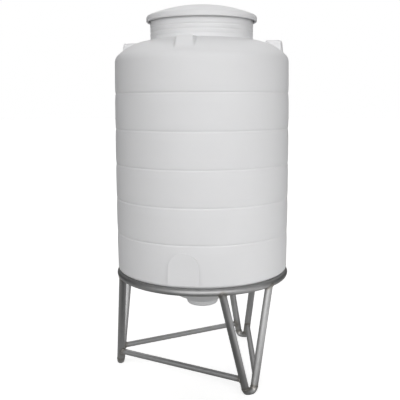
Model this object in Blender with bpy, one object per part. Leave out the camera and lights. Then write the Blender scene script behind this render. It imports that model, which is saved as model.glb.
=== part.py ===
# Cone-bottom water tank on a three-legged tube stand.
# Metres, +Z up. The origin is on the floor, on the tank's axis, and the outlet pad faces -Y.

import math

import bmesh
import bpy
from mathutils import Matrix, Vector

# The moulded tank. Its wall has a slight belly, widest low down, and is narrower where the shoulder starts.
BELLY_RADIUS = 0.5075
BELLY_HEIGHT = 1.05
SHOULDER_RADIUS = 0.500
WALL = 0.008
SEGMENTS = 64
WALL_TOP = 1.822
GROOVE_HEIGHTS = (0.851, 1.050, 1.250, 1.450, 1.649)
GROOVE_WIDTH = 0.014
GROOVE_DEPTH = 0.004
BOTTOM_CORNER_RADIUS = 0.020
BOTTOM_CORNER_HEIGHT = 0.6391
CONE_SLOPE = math.radians(27.2)

# The wall's quarters and the lugs, by the azimuth of their middle from +X towards +Y
SIDES = {"front": -90, "right": 0, "back": 90, "left": 180}

# The shoulder: a rolled corner, then a wider arc that levels off at the neck
SHOULDER_CORNER_RADIUS = 0.058
SHOULDER_CORNER_TURN = math.radians(47)
DOME_RADIUS = 0.300
NECK_RADIUS = 0.295
NECK_TOP = 2.080
THREAD_HEIGHTS = (1.980, 2.025)
THREAD_WIDTH = 0.012
THREAD_DEPTH = 0.002

# The lifting lugs on the shoulder
LUG_INNER = 0.370
LUG_OUTER = 0.464
LUG_WIDTH = 0.101
LUG_TOP = 1.941
LUG_ROUNDING = 0.008

# The arched pad low on the front, where an outlet is fitted
PAD_HALF_WIDTH = 0.087
PAD_ARCH_HEIGHT = 0.732
PAD_BOTTOM = 0.634
PAD_FACE = 0.509
PAD_BEVEL = 0.010
PAD_ROOT = 0.034

# The sump at the cone's tip, with its drain socket
SUMP_RADIUS = 0.0944
SUMP_BOTTOM = 0.385
SUMP_ROUNDING = 0.019
SOCKET_RADIUS = 0.038
SOCKET_BORE = 0.025
SOCKET_HEIGHT = 0.034

# The lid
LID_RADIUS = 0.3166
LID_WALL = 0.006
LID_BOTTOM = 2.051
LID_SIDE = 0.019
LID_CORNER_RADIUS = 0.0175
LID_RIM_SLOPE = math.radians(21.7)

# The stand
RING_RADIUS = 0.492
TUBE_RADIUS = 0.0212
BRACE_RADIUS = 0.01685
TUBE_SIDES = 16
FOOT_RADIUS = 0.511
FOOT_BEND_RADIUS = 0.0312
FOOT_FLAT = 0.011
BRACE_HEIGHT = 0.0865

# Each leg's azimuth, from -Y towards +X, and half of the angle between its two tops on the ring
LEGS = {"front": (42.2, 18.8), "left": (-79.3, 19.5), "back": (158.5, 14.2)}

# Meshes that touch keep this gap
GAP = 0.0003

TANK_COLOUR = (0.80, 0.81, 0.80, 1.0)
LID_COLOUR = (0.78, 0.79, 0.78, 1.0)
STEEL_COLOUR = (0.52, 0.52, 0.51, 1.0)
SOCKET_COLOUR = (0.05, 0.05, 0.055, 1.0)


# Helpers

def clear_scene():
    for old in list(bpy.data.objects):
        bpy.data.objects.remove(old, do_unlink=True)


def make_material(name, colour, roughness, metallic=0.0):
    material = bpy.data.materials.new(name)
    material.use_nodes = True
    shader = material.node_tree.nodes["Principled BSDF"]
    shader.inputs["Base Color"].default_value = colour
    shader.inputs["Roughness"].default_value = roughness
    shader.inputs["Metallic"].default_value = metallic
    return material


def add_object(name, bm, material=None, location=(0, 0, 0), rotation_z=0.0):
    mesh = bpy.data.meshes.new(name)
    bmesh.ops.recalc_face_normals(bm, faces=bm.faces)
    bm.to_mesh(mesh)
    bm.free()
    mesh.shade_smooth()
    mesh.set_sharp_from_angle(angle=math.radians(35))
    obj = bpy.data.objects.new(name, mesh)
    obj.location = location
    obj.rotation_euler.z = rotation_z
    if material:
        mesh.materials.append(material)
    bpy.context.collection.objects.link(obj)
    return obj


def make_cutter(obj):
    obj.hide_render = True
    obj.display_type = 'WIRE'
    return obj


def cut(obj, cutter):
    modifier = obj.modifiers.new("Cut", 'BOOLEAN')
    modifier.operation = 'DIFFERENCE'
    modifier.solver = 'EXACT'
    modifier.object = cutter


def arc(centre, radius, start, end, steps):
    """Points (r, z) on an arc about centre, from angle start to end, both ends included."""
    points = []
    for i in range(steps + 1):
        angle = start + (end - start) * i / steps
        points.append((centre[0] + radius * math.cos(angle), centre[1] + radius * math.sin(angle)))
    return points


def turned(profile, start=0.0, sweep=math.tau, steps=SEGMENTS):
    """Turn a profile of (r, z) points about Z.

    A profile whose two ends lie on the axis is left open there, and any other is a closed loop.
    """
    bm = bmesh.new()
    turn = Matrix.Rotation(start, 3, 'Z')
    verts = [bm.verts.new(turn @ Vector((r, 0, z))) for r, z in profile]
    edges = [bm.edges.new(pair) for pair in zip(verts, verts[1:])]
    on_axis = profile[0][0] == 0 and profile[-1][0] == 0
    if not on_axis:
        edges.append(bm.edges.new((verts[-1], verts[0])))
    full = abs(sweep - math.tau) < 1e-9
    if not full:
        bm.faces.new(verts)
    spun = bmesh.ops.spin(bm, geom=verts + edges, cent=(0, 0, 0), axis=(0, 0, 1), angle=sweep,
                          steps=steps, use_merge=full)
    if not full:
        last = [item for item in spun["geom_last"] if isinstance(item, bmesh.types.BMEdge)]
        bmesh.ops.edgeloop_fill(bm, edges=last)
    bmesh.ops.remove_doubles(bm, verts=bm.verts, dist=1e-6)
    return bm


def direction(degrees):
    """Unit vectors outwards and sideways for an azimuth counted from -Y towards +X."""
    angle = math.radians(degrees)
    outwards = Vector((math.sin(angle), -math.cos(angle), 0))
    sideways = Vector((math.cos(angle), math.sin(angle), 0))
    return outwards, sideways


def bar_mesh(length, radius, nose=0.0):
    """A round bar up +Z from the origin. Its last stretch, of length nose, tapers to half the radius."""
    tip = radius / 2 if nose else radius
    profile = [(0, 0), (radius, 0), (radius, length - nose), (tip, length), (0, length)]
    if not nose:
        profile.pop(3)
    return turned(profile, steps=TUBE_SIDES)


def add_bar(name, start, end, radius, material, nose=0.0):
    run = end - start
    bar = add_object(name, bar_mesh(run.length, radius, nose=nose), material, start)
    bar.rotation_euler = run.to_track_quat('Z', 'Y').to_euler()
    return bar


# Outlines of the tank, as (r, z) points

def groove(radius, height, width, depth):
    """A V groove in an upright side."""
    return [(radius, height - width / 2), (radius - depth, height), (radius, height + width / 2)]


def wall_radius(height):
    """The wall's outer radius at a height, which falls off from the belly in a long arc."""
    off_belly = (height - BELLY_HEIGHT) / (WALL_TOP - BELLY_HEIGHT)
    return BELLY_RADIUS - (BELLY_RADIUS - SHOULDER_RADIUS) * off_belly ** 2


def wall_outline():
    """The outer side of the wall, from the cone's edge up to the shoulder."""
    corner = (wall_radius(BOTTOM_CORNER_HEIGHT) - BOTTOM_CORNER_RADIUS, BOTTOM_CORNER_HEIGHT)
    points = arc(corner, BOTTOM_CORNER_RADIUS, CONE_SLOPE - math.pi / 2, 0, 4)
    for height in GROOVE_HEIGHTS:
        points += groove(wall_radius(height), height, GROOVE_WIDTH, GROOVE_DEPTH)
    points.append((SHOULDER_RADIUS, WALL_TOP))
    return points


def shoulder_outline(grow=0.0):
    """The outer side of the shoulder, from the wall up to the neck, grown outwards by grow."""
    corner = (SHOULDER_RADIUS - SHOULDER_CORNER_RADIUS, WALL_TOP)
    points = arc(corner, SHOULDER_CORNER_RADIUS + grow, 0, SHOULDER_CORNER_TURN, 5)
    turn = SHOULDER_CORNER_TURN
    dome = (corner[0] - (DOME_RADIUS - SHOULDER_CORNER_RADIUS) * math.cos(turn),
            corner[1] - (DOME_RADIUS - SHOULDER_CORNER_RADIUS) * math.sin(turn))
    neck_turn = math.acos((NECK_RADIUS - dome[0]) / (DOME_RADIUS + grow))
    return points + arc(dome, DOME_RADIUS + grow, turn, neck_turn, 4)[1:]


def cone_height(radius):
    """Height of the cone's outer side at a radius."""
    edge_radius, edge_height = wall_outline()[0]
    return edge_height - (edge_radius - radius) * math.tan(CONE_SLOPE)


# Pieces of the tank

def build_walls(material):
    """The round wall, in four upright quarters."""
    outer = wall_outline()
    edge_radius, edge_height = outer[0]
    inner_heights = (WALL_TOP, *GROOVE_HEIGHTS[::-1], edge_height + WALL)
    inner = [(wall_radius(height) - WALL, height) for height in inner_heights]
    foot = (edge_radius - WALL * math.sin(CONE_SLOPE), edge_height + WALL * math.cos(CONE_SLOPE))
    profile = outer + inner + [foot]
    slit = GAP / BELLY_RADIUS
    quarter = math.pi / 2
    for name, middle in SIDES.items():
        start = math.radians(middle) - quarter / 2 + slit / 2
        add_object("wall_" + name, turned(profile, start, quarter - slit, SEGMENTS // 4), material)


def build_shoulder(material):
    outer = shoulder_outline()
    inner = [(r, z) for r, z in shoulder_outline(-WALL) if r > NECK_RADIUS - WALL]
    outer[0] = (SHOULDER_RADIUS, WALL_TOP + GAP)
    inner[0] = (SHOULDER_RADIUS - WALL, WALL_TOP + GAP)
    rim = [(NECK_RADIUS - WALL, outer[-1][1]), (NECK_RADIUS - WALL, inner[-1][1])]
    add_object("shoulder", turned(outer + rim + inner[::-1]), material)


def build_neck(material):
    base = shoulder_outline()[-1][1] + GAP
    inner = NECK_RADIUS - WALL
    profile = [(NECK_RADIUS, base)]
    for height in THREAD_HEIGHTS:
        profile += groove(NECK_RADIUS, height, THREAD_WIDTH, THREAD_DEPTH)
    profile += [(NECK_RADIUS, NECK_TOP), (inner, NECK_TOP), (inner, base)]
    add_object("neck", turned(profile), material)


def build_lugs(material, envelope):
    """Four solid blocks that stand on the shoulder, their undersides shaped to it."""
    length = LUG_OUTER - LUG_INNER
    height = 0.10
    for name, middle in SIDES.items():
        bm = bmesh.new()
        bmesh.ops.create_cube(bm, size=1.0)
        bmesh.ops.scale(bm, verts=bm.verts, vec=(length, LUG_WIDTH, height))
        bmesh.ops.translate(bm, verts=bm.verts, vec=((LUG_INNER + LUG_OUTER) / 2, 0, LUG_TOP - height / 2))
        low = [edge for edge in bm.edges if all(v.co.z < LUG_TOP - height / 2 for v in edge.verts)]
        bmesh.ops.bevel(bm, geom=[edge for edge in bm.edges if edge not in low], offset=LUG_ROUNDING,
                        segments=2, profile=0.5, affect='EDGES', material=-1)
        lug = add_object("lug_" + name, bm, material, rotation_z=math.radians(middle))
        cut(lug, envelope)


def build_pad(material, envelope):
    """The arched pad: flat-faced, with a sloping border, its back shaped to the wall."""
    arch = [(x, z) for x, z in arc((0, PAD_ARCH_HEIGHT), PAD_HALF_WIDTH, 0, math.pi, 16)]
    outline = [(PAD_HALF_WIDTH, PAD_BOTTOM)] + arch + [(-PAD_HALF_WIDTH, PAD_BOTTOM)]
    back = PAD_FACE - PAD_ROOT
    bm = bmesh.new()
    face = bm.faces.new([bm.verts.new((x, -back, z)) for x, z in outline])
    grown = bmesh.ops.extrude_face_region(bm, geom=[face])
    front = [item for item in grown["geom"] if isinstance(item, bmesh.types.BMVert)]
    bmesh.ops.translate(bm, verts=front, vec=(0, back - PAD_FACE, 0))
    border = [edge for edge in bm.edges if all(v in front for v in edge.verts)]
    bmesh.ops.bevel(bm, geom=border, offset=PAD_BEVEL, segments=1, profile=0.5, affect='EDGES', material=-1)
    cut(add_object("outlet_pad", bm, material), envelope)


def build_envelope():
    """What the tank fills outside, a gap larger, to shape the pieces that sit on it."""
    wall = [(r + GAP, z) for r, z in wall_outline()]
    shoulder = shoulder_outline(GAP)
    profile = [(0, wall[0][1])] + wall[:-1] + shoulder + [(0, shoulder[-1][1])]
    return make_cutter(add_object("tank_envelope", turned(profile)))


def build_cone(material):
    top_radius, top_height = wall_outline()[0]
    slide = GAP * math.cos(CONE_SLOPE)
    drop = GAP * math.sin(CONE_SLOPE)
    inwards = (-WALL * math.sin(CONE_SLOPE), WALL * math.cos(CONE_SLOPE))
    top = (top_radius - slide, top_height - drop)
    tip = (SUMP_RADIUS + GAP, cone_height(SUMP_RADIUS + GAP))
    profile = [tip, top, (top[0] + inwards[0], top[1] + inwards[1]), (tip[0], tip[1] + WALL / math.cos(CONE_SLOPE))]
    add_object("cone", turned(profile), material)


def build_sump(material):
    """A short cup under the cone's tip, open in its middle for the drain socket."""
    top = cone_height(SUMP_RADIUS) + WALL / math.cos(CONE_SLOPE)
    outer_corner = (SUMP_RADIUS - SUMP_ROUNDING, SUMP_BOTTOM + SUMP_ROUNDING)
    outer = arc(outer_corner, SUMP_ROUNDING, -math.pi / 2, 0, 4)
    inner = arc(outer_corner, SUMP_ROUNDING - WALL, 0, -math.pi / 2, 4)
    hole = SOCKET_RADIUS + GAP
    profile = [(hole, SUMP_BOTTOM)] + outer + [(SUMP_RADIUS, top), (SUMP_RADIUS - WALL, top)] + inner
    add_object("sump", turned(profile + [(hole, SUMP_BOTTOM + WALL)], steps=32), material)


def build_socket(material):
    top = SUMP_BOTTOM + SOCKET_HEIGHT
    profile = [(SOCKET_BORE, SUMP_BOTTOM), (SOCKET_RADIUS, SUMP_BOTTOM), (SOCKET_RADIUS, top), (SOCKET_BORE, top)]
    add_object("drain_socket", turned(profile, steps=32), material)


def build_lid(material):
    """The lid, modelled from its own lower edge up: a short side, a rolled corner and a dome."""
    corner = (LID_RADIUS - LID_CORNER_RADIUS, LID_SIDE)
    upright = math.pi / 2
    rim = upright - LID_RIM_SLOPE
    dome_radius = LID_CORNER_RADIUS + corner[0] / math.sin(LID_RIM_SLOPE)
    dome = (0, corner[1] - (dome_radius - LID_CORNER_RADIUS) * math.cos(LID_RIM_SLOPE))
    outer = [(LID_RADIUS, 0)] + arc(corner, LID_CORNER_RADIUS, 0, rim, 4)
    outer += arc(dome, dome_radius, rim, upright, 5)[1:-1]
    seat = NECK_TOP + GAP - LID_BOTTOM
    seat_inner = NECK_RADIUS - WALL - 0.004
    seat_outer = NECK_RADIUS + 0.004
    under = dome_radius - LID_WALL
    inner = arc(corner, LID_CORNER_RADIUS - LID_WALL, 0, math.radians(50), 2)
    inner += [(seat_outer, seat), (seat_inner, seat)]
    inner += arc(dome, under, math.acos(seat_inner / under), upright, 5)[:-1]
    top = dome[1] + dome_radius
    profile = [(0, top)] + outer[::-1] + [(LID_RADIUS - LID_WALL, 0)] + inner + [(0, top - LID_WALL)]
    add_object("lid", turned(profile), material, (0, 0, LID_BOTTOM))


# The stand

def ring_height():
    """The ring's centre height, where its tube just meets the cone."""
    return cone_height(RING_RADIUS) - (TUBE_RADIUS + GAP) / math.cos(CONE_SLOPE)


def build_ring(material):
    """The support ring, a tube with one corner of its section against the cone."""
    contact = math.pi / 2 + CONE_SLOPE
    centre = (RING_RADIUS, ring_height())
    section = arc(centre, TUBE_RADIUS, contact, contact + math.tau, TUBE_SIDES)[:-1]
    add_object("support_ring", turned(section), material)
    bore = arc(centre, TUBE_RADIUS + GAP, contact, contact + math.tau, TUBE_SIDES)[:-1]
    return make_cutter(add_object("ring_cutter", turned(bore)))


class Leg:
    """One V of the stand: two tubes from the ring down to a tight bend, which the floor cuts flat."""

    def __init__(self, name, azimuth, top_half_angle):
        self.name = name
        outwards, self.sideways = direction(azimuth)
        foot = outwards * FOOT_RADIUS
        spread = math.radians(top_half_angle)
        half_top = RING_RADIUS * math.sin(spread)
        top = outwards * RING_RADIUS * math.cos(spread) + Vector((0, 0, ring_height()))
        self.up = (top - foot).normalized()
        self.bend_centre = foot + self.up * (FOOT_BEND_RADIUS + (TUBE_RADIUS - FOOT_FLAT) / self.up.z)
        rise = (top - self.bend_centre).length
        reach = math.hypot(half_top, rise)
        self.half_angle = math.atan2(half_top, rise) - math.asin(FOOT_BEND_RADIUS / reach)
        self.tops = {side: top + self.sideways * side * half_top for side in (-1, 1)}
        self.bend_ends = {side: self.bend_centre + FOOT_BEND_RADIUS * (
            self.sideways * side * math.cos(self.half_angle) - self.up * math.sin(self.half_angle))
            for side in (-1, 1)}

    def at_height(self, side, height):
        """The point on one tube's centreline at a height."""
        low, high = self.bend_ends[side], self.tops[side]
        return low.lerp(high, (height - low.z) / (high.z - low.z))


def build_leg(leg, material, ring_cutter):
    side_names = {-1: "tube_a", 1: "tube_b"}
    cutters = {}
    for side, side_name in side_names.items():
        run = (leg.tops[side] - leg.bend_ends[side]).normalized()
        start = leg.bend_ends[side] + run * GAP
        tube = add_bar(f"{leg.name}_leg_{side_name}", start, leg.tops[side], TUBE_RADIUS, material, nose=0.008)
        cut(tube, ring_cutter)
        cutter = add_bar(f"{leg.name}_cutter_{side_name}", start, leg.tops[side], TUBE_RADIUS + GAP, None)
        cutters[side] = make_cutter(cutter)
    normal = leg.sideways.cross(leg.up)
    first = leg.bend_ends[-1]
    bm = bmesh.new()
    bmesh.ops.create_circle(bm, cap_ends=True, segments=TUBE_SIDES, radius=TUBE_RADIUS)
    run = (leg.tops[-1] - first).normalized()
    place = Matrix.Translation(first) @ run.to_track_quat('Z', 'Y').to_matrix().to_4x4()
    bmesh.ops.transform(bm, matrix=place, verts=bm.verts)
    sweep = math.pi - 2 * leg.half_angle
    spun = bmesh.ops.spin(bm, geom=bm.faces[:], cent=leg.bend_centre, axis=normal, angle=sweep, steps=10)
    bmesh.ops.remove_doubles(bm, verts=bm.verts, dist=1e-6)
    bmesh.ops.bisect_plane(bm, geom=bm.verts[:] + bm.edges[:] + bm.faces[:], plane_co=(0, 0, 0),
                           plane_no=(0, 0, -1), clear_outer=True)
    rim = [edge for edge in bm.edges if edge.is_boundary and all(abs(v.co.z) < 1e-6 for v in edge.verts)]
    bmesh.ops.edgeloop_fill(bm, edges=rim)
    add_object(f"{leg.name}_foot", bm, material)
    return cutters


def build_stand(material):
    ring_cutter = build_ring(material)
    legs = {name: Leg(name, azimuth, spread) for name, (azimuth, spread) in LEGS.items()}
    cutters = {name: build_leg(leg, material, ring_cutter) for name, leg in legs.items()}
    braces = (("left", 1, "front", -1), ("back", -1, "front", 1), ("left", -1, "back", 1))
    for first, first_side, second, second_side in braces:
        start = legs[first].at_height(first_side, BRACE_HEIGHT)
        end = legs[second].at_height(second_side, BRACE_HEIGHT)
        brace = add_bar(f"brace_{first}_{second}", start, end, BRACE_RADIUS, material)
        cut(brace, cutters[first][first_side])
        cut(brace, cutters[second][second_side])


def main():
    clear_scene()
    tank = make_material("moulded_tank_plastic", TANK_COLOUR, 0.45)
    lid = make_material("moulded_lid_plastic", LID_COLOUR, 0.45)
    steel = make_material("satin_steel_tube", STEEL_COLOUR, 0.38, 1.0)
    socket = make_material("black_socket_plastic", SOCKET_COLOUR, 0.5)
    envelope = build_envelope()
    build_walls(tank)
    build_shoulder(tank)
    build_neck(tank)
    build_lugs(tank, envelope)
    build_pad(tank, envelope)
    build_cone(tank)
    build_sump(tank)
    build_socket(socket)
    build_lid(lid)
    build_stand(steel)


main()
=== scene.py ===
# %% [markdown]
# # Dressing a cone-bottom water tank
#
# The real object is one hollow moulding of white polyethylene that stands in a welded stand of stainless
# tube. The construction model, called the frame here, already holds every piece at its real size and
# place. This lesson gives it the looks: soft moulded corners, grooves, weld beads, the finish of each
# surface, and light. Every new piece hides the pieces of the frame that it stands for, and it rides on the
# body that carries them.

# %% Load the frame
import math

import bmesh
import bpy
from mathutils import Matrix, Vector
from mathutils.kdtree import KDTree


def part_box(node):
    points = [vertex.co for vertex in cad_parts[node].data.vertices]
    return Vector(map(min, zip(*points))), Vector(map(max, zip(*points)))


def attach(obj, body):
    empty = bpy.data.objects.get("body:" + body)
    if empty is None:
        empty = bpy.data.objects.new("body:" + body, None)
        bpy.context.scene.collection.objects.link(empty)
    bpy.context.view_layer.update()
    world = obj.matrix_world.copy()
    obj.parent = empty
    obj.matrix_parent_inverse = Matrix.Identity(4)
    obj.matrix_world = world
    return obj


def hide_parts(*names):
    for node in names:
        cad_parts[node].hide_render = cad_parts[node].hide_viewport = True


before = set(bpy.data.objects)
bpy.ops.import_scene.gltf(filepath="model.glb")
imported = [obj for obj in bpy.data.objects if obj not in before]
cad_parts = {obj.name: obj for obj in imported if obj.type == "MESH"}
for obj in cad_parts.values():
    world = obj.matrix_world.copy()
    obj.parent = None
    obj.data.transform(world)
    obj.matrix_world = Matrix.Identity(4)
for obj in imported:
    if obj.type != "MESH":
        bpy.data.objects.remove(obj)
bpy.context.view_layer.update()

# %% [markdown]
# ## The camera
#
# The photograph was taken from a little to the right of the outlet pad, from about eye height. A camera
# is only a place, a direction and a lens. They could be set by eye, but here they were fitted to the
# grooves, the ring and the legs. That is why these sizes aren't round numbers, and why the outlines fall
# on the photograph's.

# %% Place the camera
CAMERA_DISTANCE = 3.722
CAMERA_HEIGHT = 1.5955
CAMERA_AZIMUTH = math.radians(11.3)
CAMERA_HEADING = math.radians(11.5)
CAMERA_DIP = math.radians(8.79)
CAMERA_ROLL = math.radians(-0.21)
LENS = 56.48
SENSOR_WIDTH = 36

camera_data = bpy.data.cameras.new("camera")
camera_data.lens = LENS
camera_data.sensor_width = SENSOR_WIDTH
camera = bpy.data.objects.new("camera", camera_data)
bpy.context.scene.collection.objects.link(camera)
camera_place = Vector((CAMERA_DISTANCE * math.sin(CAMERA_AZIMUTH),
                       -CAMERA_DISTANCE * math.cos(CAMERA_AZIMUTH), CAMERA_HEIGHT))
camera.matrix_world = (Matrix.Translation(camera_place)
                       @ Matrix.Rotation(CAMERA_HEADING, 4, 'Z')
                       @ Matrix.Rotation(math.pi / 2 - CAMERA_DIP, 4, 'X')
                       @ Matrix.Rotation(CAMERA_ROLL, 4, 'Z'))
bpy.context.scene.camera = camera
print("camera at", [round(value, 3) for value in camera_place])

# %% [markdown]
# ## Colours and nodes
#
# Colours are easiest to note as the hex values that a picture shows, which are sRGB. A shader works with
# linear light, so one function converts them. A material is a small graph of nodes, and each node needs a
# kind, some settings and its inputs, which are either plain values or links. One function does that for
# all kinds.

# %% A colour function and a node function
def linear(hex_colour):
    """An sRGB hex colour, such as #D8DAD8, as linear red, green, blue and alpha."""
    channels = [int(hex_colour[i:i + 2], 16) / 255 for i in (1, 3, 5)]
    return [c / 12.92 if c <= 0.04045 else ((c + 0.055) / 1.055) ** 2.4 for c in channels] + [1.0]


def add_node(tree, kind, settings, inputs):
    """Add a node with its settings. An input that is a socket is linked, and any other is set."""
    node = tree.nodes.new(kind)
    for name, value in settings.items():
        setattr(node, name, value)
    for name, value in inputs.items():
        if isinstance(value, bpy.types.NodeSocket):
            tree.links.new(value, node.inputs[name])
        else:
            node.inputs[name].default_value = value
    return node


def new_material(name):
    """An empty material with its output node, and its tree."""
    material = bpy.data.materials.new(name)
    material.use_nodes = True
    material.node_tree.nodes.clear()
    return material, material.node_tree, add_node(material.node_tree, "ShaderNodeOutputMaterial", {}, {})


print("white plastic reflects", round(linear("#E8E9E7")[1], 2), "of the light")

# %% [markdown]
# ## White polyethylene, rotationally moulded
#
# The tank is rotationally moulded: powder melts onto the inside of a turning steel mould and cools there.
# That gives a waxy white skin with a soft sheen, a fine orange peel where the powder fused, and walls
# that are never quite flat, because they shrink as they cool. Polyethylene lets some light in, so its
# shadows are soft. The peel is about 3 mm from bump to bump, the sinking about 120 mm, and the clouding
# of the colour about 300 mm. Each gets its own noise, whose scale is one over the size of its lumps.

# %% Make the polyethylene materials
PEEL_SIZE = 0.003
SINKING_SIZE = 0.12
CLOUD_SIZE = 0.30


def moulded_polyethylene(name, colour, shade_colour):
    """Waxy white plastic: a soft sheen, faint clouding, orange peel and slight sinking of the wall."""
    material, tree, output = new_material(name)
    place = add_node(tree, "ShaderNodeTexCoord", {}, {}).outputs["Object"]
    clouds = add_node(tree, "ShaderNodeTexNoise", {}, {
        "Vector": place, "Scale": 1 / CLOUD_SIZE, "Detail": 3.0})
    tone = add_node(tree, "ShaderNodeMix", {"data_type": 'RGBA'}, {
        0: clouds.outputs["Fac"], 6: linear(shade_colour), 7: linear(colour)})
    peel = add_node(tree, "ShaderNodeTexNoise", {}, {
        "Vector": place, "Scale": 1 / PEEL_SIZE, "Detail": 2.0})
    sinking = add_node(tree, "ShaderNodeTexNoise", {}, {
        "Vector": place, "Scale": 1 / SINKING_SIZE, "Detail": 1.0})
    sunk = add_node(tree, "ShaderNodeBump", {}, {
        "Strength": 0.5, "Distance": 0.0016, "Height": sinking.outputs["Fac"]})
    skin = add_node(tree, "ShaderNodeBump", {}, {
        "Strength": 0.25, "Distance": 0.0002, "Height": peel.outputs["Fac"],
        "Normal": sunk.outputs["Normal"]})
    gloss = add_node(tree, "ShaderNodeMapRange", {}, {
        "Value": clouds.outputs["Fac"], "To Min": 0.42, "To Max": 0.54})
    shader = add_node(tree, "ShaderNodeBsdfPrincipled", {}, {
        "Base Color": tone.outputs[2], "Roughness": gloss.outputs["Result"], "IOR": 1.51,
        "Normal": skin.outputs["Normal"], "Subsurface Weight": 0.15, "Subsurface Scale": 0.004,
        "Subsurface Radius": (1.0, 0.97, 0.92)})
    tree.links.new(shader.outputs["BSDF"], output.inputs["Surface"])
    return material


tank_plastic = moulded_polyethylene("rotomoulded_tank_polyethylene", "#E9E9EA", "#E3E3E4")
lid_plastic = moulded_polyethylene("rotomoulded_lid_polyethylene", "#EAEAEB", "#E4E4E5")
print("made", tank_plastic.name, "and", lid_plastic.name)

# %% [markdown]
# ## Outlines
#
# A round moulding is an outline turned about an axis. An outline is quickest to write as its sharp
# corners, each with the radius that the mould maker would round it to. This function puts an arc in each
# corner. The editor's bevel could round the corners after turning, but then every corner would need its
# own selection.

# %% Round an outline's corners
def rounded(corners, steps=5):
    """Points (r, z) along corners (r, z, rounding), each inner corner made an arc of its rounding."""
    points = []
    for i, (r, z, rounding) in enumerate(corners):
        corner = Vector((r, z))
        if rounding == 0 or i in (0, len(corners) - 1):
            points.append(corner)
            continue
        back = (Vector(corners[i - 1][:2]) - corner).normalized()
        ahead = (Vector(corners[i + 1][:2]) - corner).normalized()
        half = back.angle(ahead) / 2
        centre = corner + (back + ahead).normalized() * (rounding / math.sin(half))
        first = corner + back * (rounding / math.tan(half)) - centre
        last = corner + ahead * (rounding / math.tan(half)) - centre
        for step in range(steps + 1):
            points.append(centre + first.slerp(last, step / steps).normalized() * rounding)
    return points


def arc(centre, radius, start, end, steps):
    """Points (r, z) on an arc, both ends included, with its angles in radians."""
    angles = [start + (end - start) * i / steps for i in range(steps + 1)]
    return [Vector((centre[0] + radius * math.cos(a), centre[1] + radius * math.sin(a))) for a in angles]


print("a rounded square corner has", len(rounded([(0, 0, 0), (1, 0, 0.1), (1, 1, 0)])) - 2, "points")

# %% [markdown]
# ## Turning an outline and placing a piece
#
# Spin is the lathe of mesh modelling. A full turn needs use_merge, or the last copy lies on the first
# one. A point on the axis is copied too, so the copies are merged, and then the faces are made to point
# outwards.

# %% Turn an outline, and place a piece on the frame
MERGE_DISTANCE = 1e-6


def turned(outline, steps):
    """Spin (r, z) points about Z. An outline that begins off the axis is closed into a loop first."""
    bm = bmesh.new()
    verts = [bm.verts.new((point[0], 0, point[1])) for point in outline]
    edges = [bm.edges.new(pair) for pair in zip(verts, verts[1:])]
    if outline[0][0] > 0:
        edges.append(bm.edges.new((verts[-1], verts[0])))
    bmesh.ops.spin(bm, geom=verts + edges, cent=(0, 0, 0), axis=(0, 0, 1), angle=math.tau, steps=steps,
                   use_merge=True)
    bmesh.ops.remove_doubles(bm, verts=bm.verts, dist=MERGE_DISTANCE)
    bmesh.ops.recalc_face_normals(bm, faces=bm.faces)
    return bm


def place_piece(name, bm, material, replaced, body="tank_and_stand", sharp_angle=40):
    """Make a bmesh an object that rides on a body and stands for the frame's replaced nodes."""
    mesh = bpy.data.meshes.new(name)
    bm.to_mesh(mesh)
    bm.free()
    mesh.shade_smooth()
    mesh.set_sharp_from_angle(angle=math.radians(sharp_angle))
    mesh.materials.append(material)
    obj = bpy.data.objects.new(name, mesh)
    bpy.context.scene.collection.objects.link(obj)
    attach(obj, body)
    if replaced:
        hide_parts(*replaced)
    print(name, "has", len(mesh.polygons), "faces")
    return obj


# %% [markdown]
# ## The tank's sizes
#
# The frame gives the radii and heights. The wall is 8 mm thick and not quite upright: it has a slight
# belly, and its radius is 7.5 mm less where the shoulder starts. Its foot is rounded into a cone that
# falls at 27 degrees to a short sump, and its top rolls over a 58 mm corner into a dome that levels off
# at the neck.

# %% Read the tank's sizes from the frame
WALL = 0.008
FIT_GAP = 0.0003
BELLY_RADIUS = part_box("wall_right")[1].x
BELLY_HEIGHT = 1.05
SHOULDER_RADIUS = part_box("shoulder")[1].x
WALL_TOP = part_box("shoulder")[0].z
FOOT_ROUNDING = 0.020
CONE_SLOPE = math.radians(27.2)
SUMP_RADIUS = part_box("sump")[1].x
SUMP_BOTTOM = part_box("sump")[0].z
SOCKET_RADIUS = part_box("drain_socket")[1].x
NECK_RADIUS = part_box("neck")[1].x
NECK_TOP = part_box("neck")[1].z
SHOULDER_ROUNDING = 0.058
SHOULDER_TURN = math.radians(47)
DOME_ROUNDING = 0.300


def wall_radius(height):
    """The wall's outer radius at a height, which falls off from the belly in a long arc."""
    off_belly = (height - BELLY_HEIGHT) / (WALL_TOP - BELLY_HEIGHT)
    return BELLY_RADIUS - (BELLY_RADIUS - SHOULDER_RADIUS) * off_belly ** 2


edge_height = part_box("wall_front")[0].z
foot_height = edge_height + FOOT_ROUNDING * math.cos(CONE_SLOPE)
foot_side = wall_radius(foot_height)
edge_radius = foot_side - FOOT_ROUNDING * (1 - math.sin(CONE_SLOPE))
shoulder_centre = (SHOULDER_RADIUS - SHOULDER_ROUNDING, WALL_TOP)
dome_reach = DOME_ROUNDING - SHOULDER_ROUNDING
dome_centre = (shoulder_centre[0] - dome_reach * math.cos(SHOULDER_TURN),
               shoulder_centre[1] - dome_reach * math.sin(SHOULDER_TURN))


def cone_height(radius):
    """Height of the cone's outer side at a radius."""
    return edge_height - (edge_radius - radius) * math.tan(CONE_SLOPE)


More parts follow.
